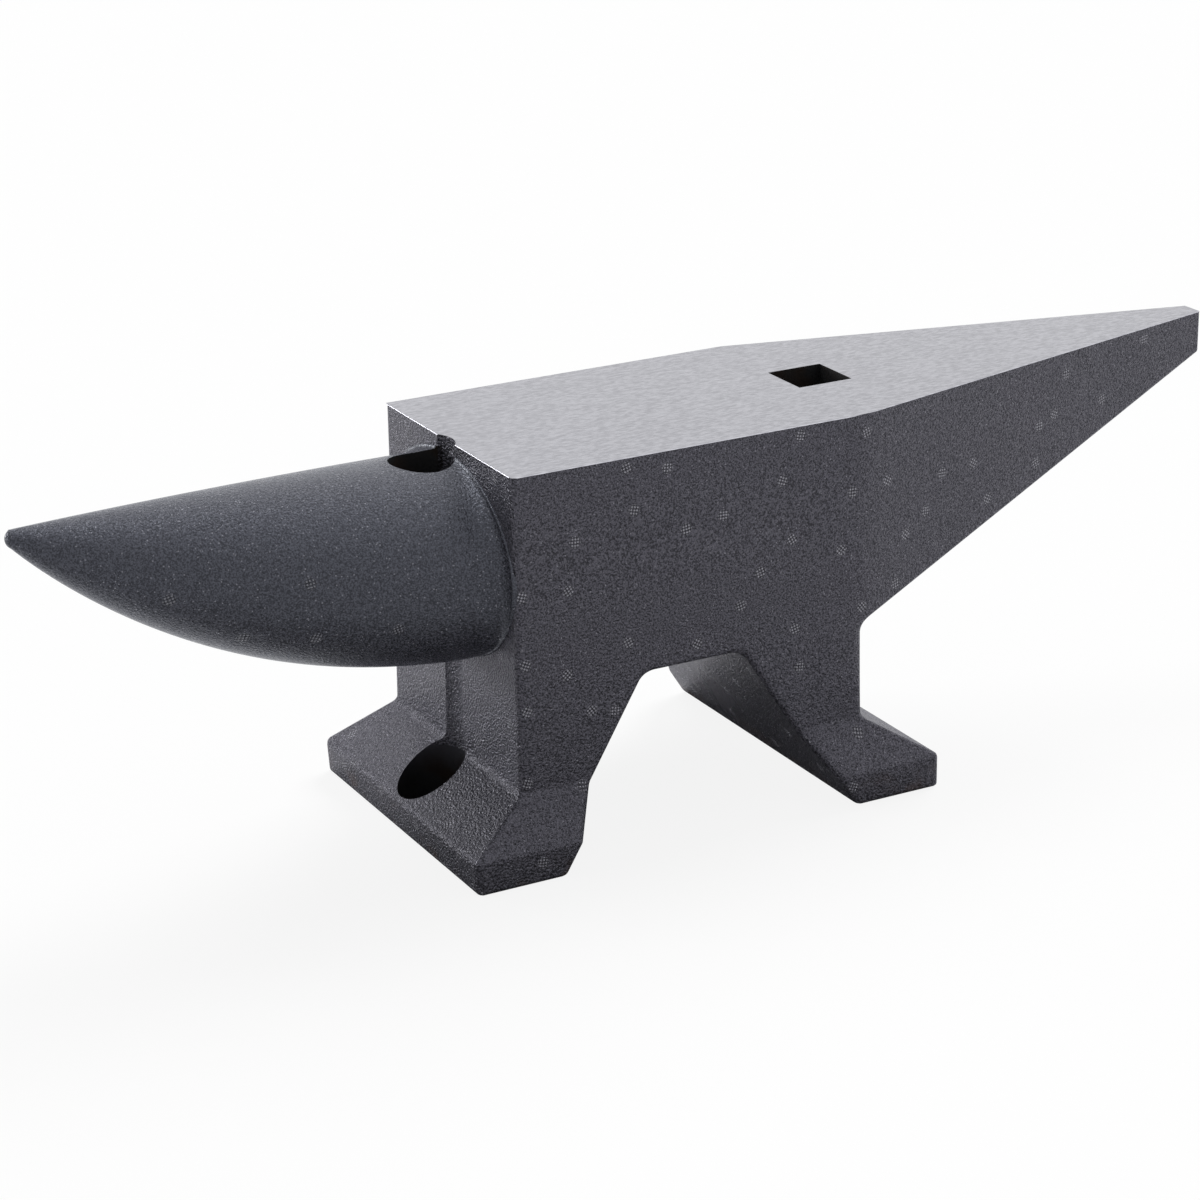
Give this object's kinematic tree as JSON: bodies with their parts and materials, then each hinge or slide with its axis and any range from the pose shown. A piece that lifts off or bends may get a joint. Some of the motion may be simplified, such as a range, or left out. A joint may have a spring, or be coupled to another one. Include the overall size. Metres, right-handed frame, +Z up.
{
  "type": "single horn anvil",
  "caption": "Single horn anvil with a flat steel face, wedge heel, square tool hole, hold-down bolt hole and two flared feet.",
  "frame": {"origin": "on the ground, in the middle of the anvil's length and width", "axes": "+X along the length towards the heel's end, +Z up from the feet to the working face, +Y across to the anvil's far side as seen in the picture"},
  "size_m": [0.6075, 0.162, 0.1805],
  "materials": {
    "ground_face": "fine ground, bare",
    "painted_casting": "charcoal paint over a sand-cast skin",
    "painted_horn": "charcoal paint over a dressed, smoother skin"
  },
  "bodies": {
    "root": {"face_plate": "ground_face", "body": "painted_casting", "horn": "painted_horn", "heel": "painted_casting", "front_foot": "painted_casting", "rear_foot": "painted_casting"}
  },
  "joints": []
}
